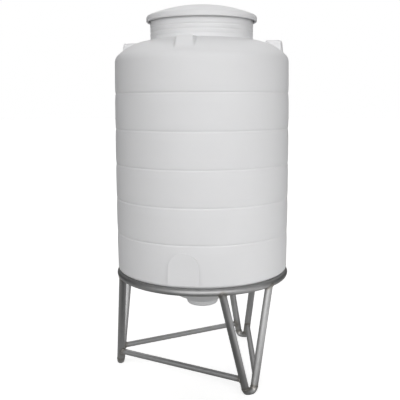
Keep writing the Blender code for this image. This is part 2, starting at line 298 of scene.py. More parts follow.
def shoulder_height(radius, grow=0.0):
    """Height of the shoulder's outer side at a radius, or of the side grown outwards by grow."""
    corner_starts = shoulder_centre[0] + (SHOULDER_ROUNDING + grow) * math.cos(SHOULDER_TURN)
    if radius > corner_starts:
        centre, rounding = shoulder_centre, SHOULDER_ROUNDING + grow
    else:
        centre, rounding = dome_centre, DOME_ROUNDING + grow
    return centre[1] + math.sqrt(rounding ** 2 - (radius - centre[0]) ** 2)


print("wall", round(foot_side, 4), "m at its foot,", round(BELLY_RADIUS, 4), "m at its belly,",
      round(SHOULDER_RADIUS, 4), "m at its top; neck from", round(shoulder_height(NECK_RADIUS), 3), "m")

# %% [markdown]
# ## The tank's moulding
#
# The real tank is one moulding, so it is one piece here too, with its thickness: wall, shoulder, neck,
# cone and sump have no joints between them. Five grooves stiffen the wall. Between them the wall bulges a
# little, so the grooves' lips lie 1.5 mm in. The neck has three shallow grooves that read as a coarse
# thread. The inner side follows the outer one without the grooves. Solidify could make it, but it would
# fold over at the groove lips.

# %% Turn the tank
GROOVE_HEIGHTS = (0.851, 1.050, 1.250, 1.450, 1.649)
GROOVE_HALF = 0.008
GROOVE_DEPTH = 0.0045
GROOVE_ROUNDING = 0.003
LIP_SINK = 0.0015
BULGE_REACH = 0.045
BULGE_ROUNDING = 0.25
THREAD_HEIGHTS = (1.966, 1.991, 2.016)
THREAD_HALF = 0.007
THREAD_DEPTH = 0.0024
THREAD_EDGE_ROUNDING = 0.006
THREAD_ROOT_ROUNDING = 0.004
NECK_FILLET = 0.010
NECK_FILLET_REACH = 0.014
NECK_EDGE_ROUNDING = 0.003
SUMP_ROUNDING = 0.019
SUMP_SHOULDER_ROUNDING = 0.010
TANK_STEPS = 192


def wall_groove(height):
    """Corners of one groove, with the wall easing in towards its lips."""
    low, high = height - BULGE_REACH, height + BULGE_REACH
    lip = wall_radius(height) - LIP_SINK
    return [(wall_radius(low), low, BULGE_ROUNDING),
            (lip, height - GROOVE_HALF, GROOVE_ROUNDING),
            (wall_radius(height) - GROOVE_DEPTH, height, GROOVE_ROUNDING),
            (lip, height + GROOVE_HALF, GROOVE_ROUNDING),
            (wall_radius(high), high, BULGE_ROUNDING)]


def neck_groove(height):
    """Corners of one of the neck's shallow grooves."""
    return [(NECK_RADIUS, height - THREAD_HALF, THREAD_EDGE_ROUNDING),
            (NECK_RADIUS - THREAD_DEPTH, height, THREAD_ROOT_ROUNDING),
            (NECK_RADIUS, height + THREAD_HALF, THREAD_EDGE_ROUNDING)]


socket_hole = SOCKET_RADIUS + FIT_GAP
outside = [(socket_hole, SUMP_BOTTOM, 0), (SUMP_RADIUS, SUMP_BOTTOM, SUMP_ROUNDING),
           (SUMP_RADIUS, cone_height(SUMP_RADIUS), SUMP_SHOULDER_ROUNDING),
           (foot_side, cone_height(foot_side), FOOT_ROUNDING)]
for groove_height in GROOVE_HEIGHTS:
    outside += wall_groove(groove_height)
outline = rounded(outside + [(SHOULDER_RADIUS, WALL_TOP, 0)])

neck_turn = math.acos((NECK_RADIUS + NECK_FILLET_REACH - dome_centre[0]) / DOME_ROUNDING)
outline += arc(shoulder_centre, SHOULDER_ROUNDING, 0, SHOULDER_TURN, 10)[1:]
outline += arc(dome_centre, DOME_ROUNDING, SHOULDER_TURN, neck_turn, 12)[1:]
inner_neck = NECK_RADIUS - WALL
neck = [(*outline[-1], 0), (NECK_RADIUS, shoulder_height(NECK_RADIUS), NECK_FILLET)]
for thread_height in THREAD_HEIGHTS:
    neck += neck_groove(thread_height)
neck += [(NECK_RADIUS, NECK_TOP, NECK_EDGE_ROUNDING), (inner_neck, NECK_TOP, NECK_EDGE_ROUNDING),
         (inner_neck, shoulder_height(inner_neck, -WALL), 0)]
outline += rounded(neck)[1:]

inner_turn = math.acos((inner_neck - dome_centre[0]) / (DOME_ROUNDING - WALL))
outline += arc(dome_centre, DOME_ROUNDING - WALL, inner_turn, SHOULDER_TURN, 10)[1:]
outline += arc(shoulder_centre, SHOULDER_ROUNDING - WALL, SHOULDER_TURN, 0, 8)[1:]
inner_rise = WALL / math.cos(CONE_SLOPE)
inside = [(wall_radius(height) - WALL, height, 0) for height in (WALL_TOP, *reversed(GROOVE_HEIGHTS))]
inside += [(foot_side - WALL, cone_height(foot_side - WALL) + inner_rise, FOOT_ROUNDING),
           (SUMP_RADIUS - WALL, cone_height(SUMP_RADIUS - WALL) + inner_rise,
            SUMP_SHOULDER_ROUNDING + WALL),
           (SUMP_RADIUS - WALL, SUMP_BOTTOM + WALL, SUMP_ROUNDING - WALL),
           (socket_hole, SUMP_BOTTOM + WALL, 0)]
outline += rounded(inside)[1:]

place_piece("tank_moulding", turned(outline, TANK_STEPS), tank_plastic,
            ["wall_front", "wall_right", "wall_back", "wall_left", "shoulder", "neck", "cone", "sump"])

# %% [markdown]
# ## The lifting lugs
#
# Four lugs stand on the shoulder a quarter turn apart. Each is a soft block moulded with the tank, so its
# foot flows into the shoulder. A boolean union would leave a sharp line there. A grid rolled into a
# closed band gives control instead: each row of the grid is one level of the block, from a hidden edge
# below the shoulder's skin, over the hollow fillet, up the sides and round onto the top. A row is
# described by how far it spreads beyond the block's plan and by its share of the height. The plan is a
# superellipse, a rectangle gone soft.

# %% Model the four lugs
LUG_INNER = 0.370
LUG_OUTER = 0.464
LUG_HALF_WIDTH = 0.0505
LUG_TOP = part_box("lug_front")[1].z
LUG_SQUARENESS = 9
LUG_STEPS = 96
LUG_ROWS = ((0.007, -0.10), (0.010, -0.004), (0.0065, 0.015), (0.0038, 0.05), (0.0018, 0.11),
            (0.0006, 0.19), (0.0, 0.30), (-0.0008, 0.45), (-0.0016, 0.60), (-0.0024, 0.74),
            (-0.0036, 0.85), (-0.0056, 0.93), (-0.0086, 0.98), (-0.0125, 1.0), (-0.020, 1.0))


def rolled_band(around, rows, place):
    """Roll a grid into a closed band whose points place(angle, *row) gives, and fill its two ends."""
    bm = bmesh.new()
    bmesh.ops.create_grid(bm, x_segments=around, y_segments=len(rows) - 1, size=0.5)
    for vert in bm.verts:
        angle = (vert.co.x + 0.5) * math.tau
        row = rows[round((vert.co.y + 0.5) * (len(rows) - 1))]
        vert.co = place(angle, *row)
    bmesh.ops.remove_doubles(bm, verts=bm.verts, dist=MERGE_DISTANCE)
    bmesh.ops.holes_fill(bm, edges=[edge for edge in bm.edges if edge.is_boundary], sides=0)
    bmesh.ops.recalc_face_normals(bm, faces=bm.faces)
    return bm


def lug_point(angle, spread, share):
    """A point of the lug that faces +X, at an angle round its plan."""
    half_length = (LUG_OUTER - LUG_INNER) / 2 + spread
    half_width = LUG_HALF_WIDTH + spread
    lengthwise = abs(math.cos(angle) / half_length) ** LUG_SQUARENESS
    crosswise = abs(math.sin(angle) / half_width) ** LUG_SQUARENESS
    reach = (lengthwise + crosswise) ** (-1 / LUG_SQUARENESS)
    x = (LUG_OUTER + LUG_INNER) / 2 + reach * math.cos(angle)
    y = reach * math.sin(angle)
    base = shoulder_height(math.hypot(x, y))
    return Vector((x, y, base + share * (LUG_TOP - base)))


for side, quarter in {"front": -90, "right": 0, "back": 90, "left": 180}.items():
    lug = rolled_band(LUG_STEPS, LUG_ROWS, lug_point)
    quarter_turn = Matrix.Rotation(math.radians(quarter), 3, 'Z')
    bmesh.ops.rotate(lug, cent=(0, 0, 0), matrix=quarter_turn, verts=lug.verts)
    place_piece(f"moulded_lug_{side}", lug, tank_plastic, [f"lug_{side}"])

# %% [markdown]
# ## The outlet pad
#
# Low on the front the wall is drawn out into a flat, arched pad, where a drill can cut a clean hole for
# an outlet. Its border is a soft slope. The pad starts as one flat face in the shape of the arch. Insets
# give it rings of faces inside its edge, and each ring then moves from the round wall out to the flat
# face by its share.

# %% Model the outlet pad
pad_low, pad_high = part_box("outlet_pad")
PAD_HALF_WIDTH = pad_high.x
PAD_FACE = pad_low.y
PAD_FOOT_ROUNDING = 0.004
PAD_BACKING = 0.005
HAIR = 0.0001
PAD_LONGEST_EDGE = 0.02
PAD_EDGE_CUTS = 7
PAD_RING = 0.0024
PAD_SHARES = (0.07, 0.22, 0.41, 0.60, 0.77, 0.90, 0.97, 1.0)


def wall_side(x, z):
    """The wall's outer y low on its front, with its rounded foot and its easing in to the first groove."""
    drop = max(0.0, foot_height - z)
    eased = LIP_SINK * max(0.0, z - GROOVE_HEIGHTS[0] + BULGE_REACH) / (BULGE_REACH - GROOVE_HALF)
    radius = wall_radius(z) - eased - FOOT_ROUNDING + math.sqrt(FOOT_ROUNDING ** 2 - drop ** 2)
    return -math.sqrt(radius ** 2 - x ** 2)


# The arch is one corner rounded by its half width, less a hair so that a straight piece is left at its top
arch = rounded([(0, pad_low.z, 0), (PAD_HALF_WIDTH, pad_low.z, PAD_FOOT_ROUNDING),
                (PAD_HALF_WIDTH, pad_high.z, PAD_HALF_WIDTH - HAIR), (0, pad_high.z, 0)], steps=16)
mirrored = [Vector((-x, z)) for x, z in reversed(arch[1:-1])]
pad = bmesh.new()
pad_face = pad.faces.new([pad.verts.new((x, 0, z)) for x, z in arch + mirrored])
long_edges = [edge for edge in pad.edges if edge.calc_length() > PAD_LONGEST_EDGE]
bmesh.ops.subdivide_edges(pad, edges=long_edges, cuts=PAD_EDGE_CUTS)
levels = [(0.0, list(pad_face.verts))]
for share in PAD_SHARES:
    bmesh.ops.inset_region(pad, faces=[pad_face], thickness=PAD_RING, use_even_offset=True)
    levels.append((share, list(pad_face.verts)))
for share, ring in levels:
    for vert in ring:
        vert.co.y = wall_side(vert.co.x, vert.co.z) * (1 - share) + PAD_FACE * share
edge_loop = [edge for edge in pad.edges if edge.is_boundary]
backed = bmesh.ops.extrude_edge_only(pad, edges=edge_loop)
back_verts = [item for item in backed["geom"] if isinstance(item, bmesh.types.BMVert)]
bmesh.ops.translate(pad, verts=back_verts, vec=(0, PAD_BACKING, 0))
bmesh.ops.holes_fill(pad, edges=[edge for edge in pad.edges if edge.is_boundary], sides=0)
bmesh.ops.recalc_face_normals(pad, faces=pad.faces)
place_piece("moulded_outlet_pad", pad, tank_plastic, ["outlet_pad"])

# %% [markdown]
# ## The lid
#
# The lid is a moulding of its own: a low dome whose side hangs outside the neck and ends in a thick round
# lip. It rests on the neck with a flat ring. When it lifts, its underside shows, so the outline runs
# right round.

# %% Turn the lid
lid_low, lid_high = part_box("lid")
LID_RADIUS = lid_high.x
LID_WALL = 0.006
LID_ROUNDING = 0.0175
LID_SIDE = 0.019
LIP_WIDTH = 0.013
LIP_HEIGHT = 0.012
LIP_ROUNDING = 0.005
LIP_ROOT_ROUNDING = 0.004
SEAT_OVERLAP = 0.004
SEAT_OUTER_ROUNDING = 0.0008
SEAT_INNER_ROUNDING = 0.0015
INNER_CORNER_TURN = math.radians(50)
RIM_SLOPE = math.radians(21.7)

lid_corner = (LID_RADIUS - LID_ROUNDING, lid_low.z + LID_SIDE)
lid_dome_radius = LID_ROUNDING + lid_corner[0] / math.sin(RIM_SLOPE)
lid_dome = (0, lid_high.z - lid_dome_radius)
upright = math.pi / 2
seat = NECK_TOP + FIT_GAP
seat_inner = NECK_RADIUS - WALL - SEAT_OVERLAP
seat_outer = NECK_RADIUS + SEAT_OVERLAP
under = lid_dome_radius - LID_WALL
seat_root = lid_dome[1] + math.sqrt(under ** 2 - seat_inner ** 2)
lid_outline = arc(lid_dome, lid_dome_radius, upright, upright - RIM_SLOPE, 16)
lid_outline += arc(lid_corner, LID_ROUNDING, upright - RIM_SLOPE, 0, 8)[1:]
lid_outline += rounded([(*lid_outline[-1], 0), (LID_RADIUS, lid_low.z, LIP_ROUNDING),
                        (LID_RADIUS - LIP_WIDTH, lid_low.z, LIP_ROUNDING),
                        (LID_RADIUS - LIP_WIDTH, lid_low.z + LIP_HEIGHT, LIP_ROOT_ROUNDING),
                        (LID_RADIUS - LID_WALL, lid_corner[1], 0)])[1:]
lid_outline += arc(lid_corner, LID_ROUNDING - LID_WALL, 0, INNER_CORNER_TURN, 4)[1:]
lid_outline += rounded([(*lid_outline[-1], 0), (seat_outer, seat, SEAT_OUTER_ROUNDING),
                        (seat_inner, seat, SEAT_INNER_ROUNDING), (seat_inner, seat_root, 0)])[1:]
lid_outline += arc(lid_dome, under, math.acos(seat_inner / under), upright, 16)[1:]
lid_outline[0].x = 0
lid_outline[-1].x = 0
place_piece("moulded_lid", turned(lid_outline, TANK_STEPS), lid_plastic, ["lid"], body="lid")

# %% [markdown]
# ## The drain socket
#
# A black polypropylene socket is moulded into the bottom of the sump, with an inside thread for a valve.
# A real thread is one helix. From outside only its lowest turns show, so plain V rings at the thread's
# pitch are enough.

# %% Make the black plastic and turn the socket
socket_low, socket_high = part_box("drain_socket")
SOCKET_BORE = 0.025
THREAD_PITCH = 0.0023
SOCKET_THREAD_DEPTH = 0.0012
SOCKET_ROUNDING = 0.001
SOCKET_STEPS = 64
GRAIN_SIZE = 0.001

black_plastic, tree, output = new_material("moulded_black_polypropylene")
place = add_node(tree, "ShaderNodeTexCoord", {}, {}).outputs["Object"]
grain = add_node(tree, "ShaderNodeTexNoise", {}, {"Vector": place, "Scale": 1 / GRAIN_SIZE, "Detail": 2.0})
grain_bump = add_node(tree, "ShaderNodeBump", {}, {
    "Strength": 0.3, "Distance": 0.0001, "Height": grain.outputs["Fac"]})
shader = add_node(tree, "ShaderNodeBsdfPrincipled", {}, {
    "Base Color": linear("#26272A"), "Roughness": 0.45, "IOR": 1.49,
    "Normal": grain_bump.outputs["Normal"]})
tree.links.new(shader.outputs["BSDF"], output.inputs["Surface"])

socket_outline = rounded([(SOCKET_BORE, socket_low.z, 0), (SOCKET_RADIUS, socket_low.z, SOCKET_ROUNDING),
                          (SOCKET_RADIUS, socket_high.z, SOCKET_ROUNDING), (SOCKET_BORE, socket_high.z, 0)])
turns = int((socket_high.z - socket_low.z) / THREAD_PITCH) - 1
for turn in range(turns, 0, -1):
    crest = socket_low.z + turn * THREAD_PITCH
    socket_outline.append(Vector((SOCKET_BORE + SOCKET_THREAD_DEPTH, crest + THREAD_PITCH / 2)))
    socket_outline.append(Vector((SOCKET_BORE, crest)))
place_piece("threaded_drain_socket", turned(socket_outline, SOCKET_STEPS), black_plastic,
            ["drain_socket"], sharp_angle=30)

# %% [markdown]
# ## Stainless tube, and how it remembers its own length
#
# The stand is welded from satin stainless tube, polished along its length. The polish leaves fine lines
# that run with the tube, and such lines spread a reflection across themselves. So a tube looks evenly
# bright from edge to edge, and how bright depends on its slant. In the shader that is anisotropy, and it
# needs to know which way the lines run. Each tube stores two attributes: tube_run is the direction of its
# length, and tube_space its own straight coordinates, x and y across the tube and z along it. The real
# lines are about 0.1 mm apart, too fine to show in a picture of the whole stand, so they are drawn 1 mm
# apart. A third attribute, weld_heat, says how near a weld is, because the heat leaves a faint straw
# tint.

# %% Make the stainless tube and weld materials
# The real polish lines are about 0.1 mm apart, and are drawn 1 mm apart so that they show
LINE_SPACING = 0.001
LINE_LENGTH = 0.080
SMUDGE_SIZE = 0.05
WELD_GRAIN_SIZE = 0.002

satin_steel, tree, output = new_material("satin_stainless_tube")
along_tube = add_node(tree, "ShaderNodeAttribute", {"attribute_name": "tube_space"}, {})
run_of_tube = add_node(tree, "ShaderNodeAttribute", {"attribute_name": "tube_run"}, {})
heat = add_node(tree, "ShaderNodeAttribute", {"attribute_name": "weld_heat"}, {})
stretched = add_node(tree, "ShaderNodeMapping", {}, {
    "Vector": along_tube.outputs["Vector"],
    "Scale": (1 / LINE_SPACING, 1 / LINE_SPACING, 1 / LINE_LENGTH)})
lines = add_node(tree, "ShaderNodeTexNoise", {}, {
    "Vector": stretched.outputs["Vector"], "Scale": 1.0, "Detail": 3.0})
smudges = add_node(tree, "ShaderNodeTexNoise", {}, {
    "Vector": along_tube.outputs["Vector"], "Scale": 1 / SMUDGE_SIZE, "Detail": 4.0})
tint = add_node(tree, "ShaderNodeValToRGB", {}, {"Fac": heat.outputs["Fac"]})
ramp = tint.color_ramp
ramp.elements[0].color = linear("#BDBDBD")
ramp.elements[1].color = linear("#989590")
ramp.elements.new(0.35).color = linear("#B8B7B5")
ramp.elements.new(0.70).color = linear("#A9A6A2")
dulled = add_node(tree, "ShaderNodeMix", {"data_type": 'RGBA', "blend_type": 'MULTIPLY'}, {
    0: 0.25, 6: tint.outputs["Color"], 7: smudges.outputs["Fac"]})
sheen = add_node(tree, "ShaderNodeMapRange", {}, {
    "Value": smudges.outputs["Fac"], "To Min": 0.38, "To Max": 0.50})
line_bump = add_node(tree, "ShaderNodeBump", {}, {
    "Strength": 0.2, "Distance": 0.0001, "Height": lines.outputs["Fac"]})
shader = add_node(tree, "ShaderNodeBsdfPrincipled", {}, {
    "Base Color": dulled.outputs[2], "Metallic": 1.0, "Roughness": sheen.outputs["Result"],
    "Anisotropic": 0.72, "Anisotropic Rotation": 0.25, "Tangent": run_of_tube.outputs["Vector"],
    "Normal": line_bump.outputs["Normal"]})
tree.links.new(shader.outputs["BSDF"], output.inputs["Surface"])

weld_metal, tree, output = new_material("brushed_weld_bead")
place = add_node(tree, "ShaderNodeTexCoord", {}, {}).outputs["Object"]
weld_grain = add_node(tree, "ShaderNodeTexNoise", {}, {
    "Vector": place, "Scale": 1 / WELD_GRAIN_SIZE, "Detail": 3.0})
weld_bump = add_node(tree, "ShaderNodeBump", {}, {
    "Strength": 0.5, "Distance": 0.0003, "Height": weld_grain.outputs["Fac"]})
shader = add_node(tree, "ShaderNodeBsdfPrincipled", {}, {
    "Base Color": linear("#9B9995"), "Metallic": 1.0, "Roughness": 0.45,
    "Normal": weld_bump.outputs["Normal"]})
tree.links.new(shader.outputs["BSDF"], output.inputs["Surface"])
print("made", satin_steel.name, "and", weld_metal.name)

# %% [markdown]
# ## The stand's layout
#
# The tank sits in a ring. Three legs carry the ring, and each leg is a V: two tubes that start on the
# ring, lean together and join in a tight bend on the floor. The bend is flattened where it stands. A leg
# is set out in its own slanting plane, with one direction up the V and one sideways, so all three legs
# share the same sums.

# %% Set out the ring and the three legs
RING_RADIUS = 0.492
TUBE_RADIUS = 0.0212
BRACE_RADIUS = 0.01685
TUBE_SIDES = 40
FOOT_RADIUS = 0.511
BEND_RADIUS = 0.0312
FOOT_FLAT = 0.011
BRACE_HEIGHT = 0.0865
LEGS = {"front": (42.2, 18.8), "left": (-79.3, 19.5), "back": (158.5, 14.2)}
ring_height = cone_height(RING_RADIUS) - (TUBE_RADIUS + FIT_GAP) / math.cos(CONE_SLOPE)


class Leg:
    """One V, set out by its foot's azimuth from -Y towards +X and half the angle between its tops."""

    def __init__(self, azimuth, top_half_angle):
        azimuth, spread = math.radians(azimuth), math.radians(top_half_angle)
        outwards = Vector((math.sin(azimuth), -math.cos(azimuth), 0))
        self.sideways = Vector((math.cos(azimuth), math.sin(azimuth), 0))
        foot = outwards * FOOT_RADIUS
        half_top = RING_RADIUS * math.sin(spread)
        top = outwards * RING_RADIUS * math.cos(spread) + Vector((0, 0, ring_height))
        self.up = (top - foot).normalized()
        self.bend_centre = foot + self.up * (BEND_RADIUS + (TUBE_RADIUS - FOOT_FLAT) / self.up.z)
        rise = (top - self.bend_centre).length
        self.half_angle = math.atan2(half_top, rise) - math.asin(BEND_RADIUS / math.hypot(half_top, rise))
        self.tops = [top - self.sideways * half_top, top + self.sideways * half_top]
        self.bend_ends = [self.bend_centre + BEND_RADIUS * (
            self.sideways * side * math.cos(self.half_angle) - self.up * math.sin(self.half_angle))
            for side in (-1, 1)]

    def at_height(self, side, height):
        """The point on the centreline of tube 0 or 1 at a height."""
        low, high = self.bend_ends[side], self.tops[side]
        return low.lerp(high, (height - low.z) / (high.z - low.z))


legs = {name: Leg(*layout) for name, layout in LEGS.items()}
for leg_name, leg in legs.items():
    print(leg_name, "leg: tops at", [round(value, 3) for value in leg.tops[0]],
          [round(value, 3) for value in leg.tops[1]])

# %% [markdown]
# ## The tubes
#
# A straight tube is a turned outline too, with a row of faces every 6 mm so that the heat tint has points
# to sit on. It is turned at the origin, stores its coordinates there, and only then moves to its place.
# Its end runs on to the middle of the tube that it meets, which hides the joint the way a coped end does.

# %% Make the ring, the leg tubes and the braces
ROW_LENGTH = 0.006
RING_STEPS = 384
BEND_STEPS = 20


def straight_tube(start, end, radius):
    """A round tube between two points that stores its straight coordinates and its run."""
    run = end - start
    rows = round(run.length / ROW_LENGTH)
    side = [(radius, run.length * row / rows) for row in range(rows + 1)]
    bm = turned([(0, 0)] + side + [(0, run.length)], TUBE_SIDES)
    tube_space = bm.verts.layers.float_vector.new("tube_space")
    tube_run = bm.verts.layers.float_vector.new("tube_run")
    for vert in bm.verts:
        vert[tube_space] = vert.co
        vert[tube_run] = run.normalized()
    place = Matrix.Translation(start) @ run.to_track_quat('Z', 'Y').to_matrix().to_4x4()
    bmesh.ops.transform(bm, matrix=place, verts=bm.verts)
    return bm


ring = turned(arc((RING_RADIUS, ring_height), TUBE_RADIUS, 0, math.tau, TUBE_SIDES)[:-1], RING_STEPS)
tube_space = ring.verts.layers.float_vector.new("tube_space")
tube_run = ring.verts.layers.float_vector.new("tube_run")
for vert in ring.verts:
    x, y, z = vert.co
    vert[tube_run] = Vector((-y, x, 0)).normalized()
    vert[tube_space] = (math.hypot(x, y) - RING_RADIUS, z - ring_height, RING_RADIUS * math.atan2(x, -y))
stand = [place_piece("ring_tube", ring, satin_steel, ["support_ring"])]

for leg_name, leg in legs.items():
    for side, letter in enumerate("ab"):
        bm = straight_tube(leg.bend_ends[side], leg.tops[side], TUBE_RADIUS)
        stand.append(place_piece(f"{leg_name}_tube_{letter}", bm, satin_steel,
                                 [f"{leg_name}_leg_tube_{letter}"]))

BRACES = (("left", 1, "front", 0), ("back", 0, "front", 1), ("left", 0, "back", 1))
brace_ends = {}
for first, first_side, second, second_side in BRACES:
    start = legs[first].at_height(first_side, BRACE_HEIGHT)
    end = legs[second].at_height(second_side, BRACE_HEIGHT)
    brace_ends[f"{first}_{second}"] = (start, end)
    bm = straight_tube(start, end, BRACE_RADIUS)
    stand.append(place_piece(f"{first}_{second}_brace_tube", bm, satin_steel,
                             [f"brace_{first}_{second}"]))

# %% [markdown]
# ## The feet
#
# Each foot is the same tube bent as tightly as it goes. A circle spun about the bend's centre makes it,
# and the floor cuts its underside flat. Its straight coordinates are the distance across the bend and the
# length round it.

# %% Bend the three feet
ABOVE_FLOOR = 0.0001

for leg_name, leg in legs.items():
    normal = leg.sideways.cross(leg.up)
    first = leg.bend_ends[0]
    run = (leg.tops[0] - first).normalized()
    foot = bmesh.new()
    bmesh.ops.create_circle(foot, cap_ends=True, segments=TUBE_SIDES, radius=TUBE_RADIUS)
    place = Matrix.Translation(first) @ run.to_track_quat('Z', 'Y').to_matrix().to_4x4()
    bmesh.ops.transform(foot, matrix=place, verts=foot.verts)
    bmesh.ops.spin(foot, geom=foot.faces[:], cent=leg.bend_centre, axis=normal,
                   angle=math.pi - 2 * leg.half_angle, steps=BEND_STEPS)
    bmesh.ops.remove_doubles(foot, verts=foot.verts, dist=MERGE_DISTANCE)
    bmesh.ops.bisect_plane(foot, geom=foot.verts[:] + foot.edges[:] + foot.faces[:],
                           plane_co=(0, 0, ABOVE_FLOOR), plane_no=(0, 0, -1), clear_outer=True)
    bmesh.ops.holes_fill(foot, edges=[edge for edge in foot.edges if edge.is_boundary], sides=0)
    bmesh.ops.recalc_face_normals(foot, faces=foot.faces)
    tube_space = foot.verts.layers.float_vector.new("tube_space")
    tube_run = foot.verts.layers.float_vector.new("tube_run")
    for vert in foot.verts:
        arm = vert.co - leg.bend_centre
        vert[tube_run] = normal.cross(arm).normalized()
        across = arm.dot(leg.sideways)
        down = -arm.dot(leg.up)
        vert[tube_space] = (math.hypot(across, down) - BEND_RADIUS, arm.dot(normal),
                            BEND_RADIUS * math.atan2(across, down))
    stand.append(place_piece(f"{leg_name}_foot_bend", foot, satin_steel,
                             [f"{leg_name}_foot"]))

# %% [markdown]
# ## The weld beads
#
# Every joint of the stand is welded, and the bead is the wavy collar round it. A bead is a small circle
# spun round its tube. Each of its steps then slides along the tube until it meets the other surface,
# which a short search finds: step forward until the distance to that surface is used up. The ripples are
# the frozen pools of the weld, about 4 mm apart, and come from letting the bead swell and shrink a
# little. A bead also leaves points along its path, from which the heat tint is worked out later.

# %% Model one weld bead
BEAD_STEPS = 160
BEAD_SIDES = 10
RIPPLE = 0.004
RIPPLE_SHARE = 0.14
TOUCHING = 0.0002
HEAT_POINT_EVERY = 8
weld_points = []


def weld(name, start, end, radius, distance, bead):
    """A bead round a tube from start towards end, where distance(point) comes down to nothing."""
    run = end - start
    place = Matrix.Translation(start) @ run.to_track_quat('Z', 'Y').to_matrix().to_4x4()
    bm = turned(arc((radius, 0), bead, 0, math.tau, BEAD_SIDES)[:-1], BEAD_STEPS)
    slides = []
    for step in range(BEAD_STEPS):
        angle = math.tau * step / BEAD_STEPS
        x, y = radius * math.cos(angle), radius * math.sin(angle)
        slide = 0.0
        while slide < run.length:
            left = distance(place @ Vector((x, y, slide)))
            if left < TOUCHING:
                break
            slide += left
        slides.append(min(slide, run.length))
        if step % HEAT_POINT_EVERY == 0:
            weld_points.append(place @ Vector((x, y, slide)))
    for vert in bm.verts:
        angle = math.atan2(vert.co.y, vert.co.x) % math.tau
        ripple = 1 + RIPPLE_SHARE * math.sin(math.tau * angle * radius / RIPPLE)
        middle = Vector((math.cos(angle), math.sin(angle), 0)) * radius
        vert.co = middle + (vert.co - middle) * ripple
        vert.co.z += slides[round(angle / math.tau * BEAD_STEPS) % BEAD_STEPS]
    bmesh.ops.transform(bm, matrix=place, verts=bm.verts)
    return place_piece(name, bm, weld_metal, [])


print("a bead has", BEAD_STEPS * BEAD_SIDES, "faces")

# %% [markdown]
# ## Where the stand is welded
#
# A leg tube meets the ring at its top and its own bend at its foot, and each brace meets a leg tube at
# both ends. A tube that meets the side of another gets a fillet bead, and two that meet end to end get a
# flatter butt bead. The ring is one tube rolled round, so it has a butt weld of its own, which is put at
# the back.

# %% Weld the joints
FILLET_BEAD = 0.0036
BUTT_BEAD = 0.0016
RING_WELD_START = Vector((0.02, 0, 0))


def from_line(point, start, end):
    """Distance of a point from the straight line through two points."""
    run = (end - start).normalized()
    arm = point - start
    return (arm - run * arm.dot(run)).length


def from_ring(point):
    """Distance of a point from the ring tube's skin."""
    across = math.hypot(point.x, point.y) - RING_RADIUS
    return math.hypot(across, point.z - ring_height) - TUBE_RADIUS


for leg_name, leg in legs.items():
    for side, letter in enumerate("ab"):
        low, high = leg.bend_ends[side], leg.tops[side]
        middle = low.lerp(high, 0.5)
        weld(f"{leg_name}_{letter}_ring_weld", middle, high, TUBE_RADIUS, from_ring, FILLET_BEAD)
        weld(f"{leg_name}_{letter}_foot_weld", middle, low, TUBE_RADIUS,
             lambda point: (point - low).dot((high - low).normalized()), BUTT_BEAD)

for first, first_side, second, second_side in BRACES:
    start, end = brace_ends[f"{first}_{second}"]
    middle = start.lerp(end, 0.5)
    for leg_name, side, joint in ((first, first_side, start), (second, second_side, end)):
        low, high = legs[leg_name].bend_ends[side], legs[leg_name].tops[side]
        weld(f"{first}_{second}_weld_at_{leg_name}", middle, joint, BRACE_RADIUS,
             lambda point: from_line(point, low, high) - TUBE_RADIUS, FILLET_BEAD)

ring_joint = Vector((0, RING_RADIUS, ring_height))
weld("ring_closing_weld", ring_joint + RING_WELD_START, ring_joint, TUBE_RADIUS,
     lambda point: point.x, BUTT_BEAD)

# %% [markdown]
# ## Heat near the welds
#
# Steel that was nearly as hot as the weld keeps a tint for about 15 mm. A search tree finds the nearest
# weld for every point of the tubes, and the result is stored as the attribute that the steel's material
# reads.

# %% Store the heat tint
HEAT_REACH = 0.013
tree_of_welds = KDTree(len(weld_points))
for index, point in enumerate(weld_points):
    tree_of_welds.insert(point, index)
tree_of_welds.balance()
for tube in stand:
    heat_attribute = tube.data.attributes.new("weld_heat", 'FLOAT', 'POINT')
    for index, vert in enumerate(tube.data.vertices):
        distance = tree_of_welds.find(vert.co)[2]
        heat_attribute.data[index].value = math.exp(-(distance / HEAT_REACH) ** 2)
print("tinted", len(stand), "tubes near", len(weld_points), "weld points")

# %% [markdown]
# ## Light that is painted onto a floor and a room
#
# The photograph's background is cut out in pure white, but the tank still shows what lit it: a hall with
# a dark roof and one wide bright opening behind the camera. Lamps could stand in for it, but smooth tubes
# would mirror them as hard shapes. So the floor and the room glow instead, by amounts that change softly
# from place to place. Two functions set that out: one gives a direction as seen from the camera, and one
# makes a glow that changes while a measure passes from one end of its edge to the other. The view
# transform is Standard, so that a colour in the picture is the colour that was set.

# %% Functions for soft light
bpy.context.scene.view_settings.view_transform = 'Standard'


def facing_way(azimuth, elevation=0):
    """The direction at an azimuth from the camera towards the right and at an elevation, in degrees."""
    flat = math.cos(math.radians(elevation))
    turn = CAMERA_AZIMUTH + math.radians(azimuth)
    return Vector((flat * math.sin(turn), -flat * math.cos(turn), math.sin(math.radians(elevation))))


def soft_glow(tree, measure, place, mark, edge, glows):
    """A glow from the first to the second of glows, as the place's measure from a mark passes its edge."""
    measured = add_node(tree, "ShaderNodeVectorMath", {"operation": measure}, {0: place, 1: mark})
    glow = add_node(tree, "ShaderNodeMapRange", {"interpolation_type": 'SMOOTHSTEP'}, {
        "Value": measured.outputs["Value"], "From Min": edge[0], "From Max": edge[1],
        "To Min": glows[0], "To Max": glows[1]})
    return glow.outputs["Result"]


print("the camera's side of the tank is", [round(value, 2) for value in facing_way(0)])

# %% [markdown]
# ## The floor
#
# The satin tubes mirror a floor that is dark in front of the tank and bright on its right, and that fades
# away from the tank. A spot is an azimuth from the camera and a distance from the tank's axis, and its
# edge gives the two distances from its middle between which its glow changes. A Light Path node tells
# apart the rays that ask: rays straight from the camera see an evenly pale floor, and all others see the
# spots on a grey one.

